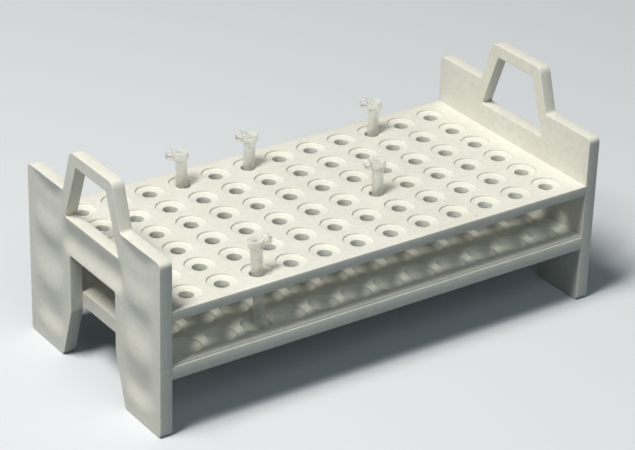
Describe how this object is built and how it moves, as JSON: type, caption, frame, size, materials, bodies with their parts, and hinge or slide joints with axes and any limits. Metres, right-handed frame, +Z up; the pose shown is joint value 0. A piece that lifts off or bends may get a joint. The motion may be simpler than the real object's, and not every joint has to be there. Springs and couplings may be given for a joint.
{
  "type": "microcentrifuge tube rack",
  "caption": "Bench rack with two handled end plates, a deck of dished tube holes and a shelf of shallow wells below, with small snap-cap tubes standing in it.",
  "frame": {"origin": "on the floor under the middle of the rack", "axes": "+X along the twelve columns of places, +Y towards the back row, +Z up"},
  "size_m": [0.253, 0.121, 0.113],
  "materials": {
    "rack_plastic": "satin off-white moulded polypropylene",
    "tube_plastic": "translucent natural polypropylene"
  },
  "bodies": {
    "root": {"end_plate_left": "rack_plastic", "end_plate_right": "rack_plastic", "tube_deck": "rack_plastic", "well_shelf": "rack_plastic", "tube_1": "tube_plastic", "tube_2": "tube_plastic", "tube_3": "tube_plastic", "tube_4": "tube_plastic", "tube_5": "tube_plastic"}
  },
  "joints": []
}
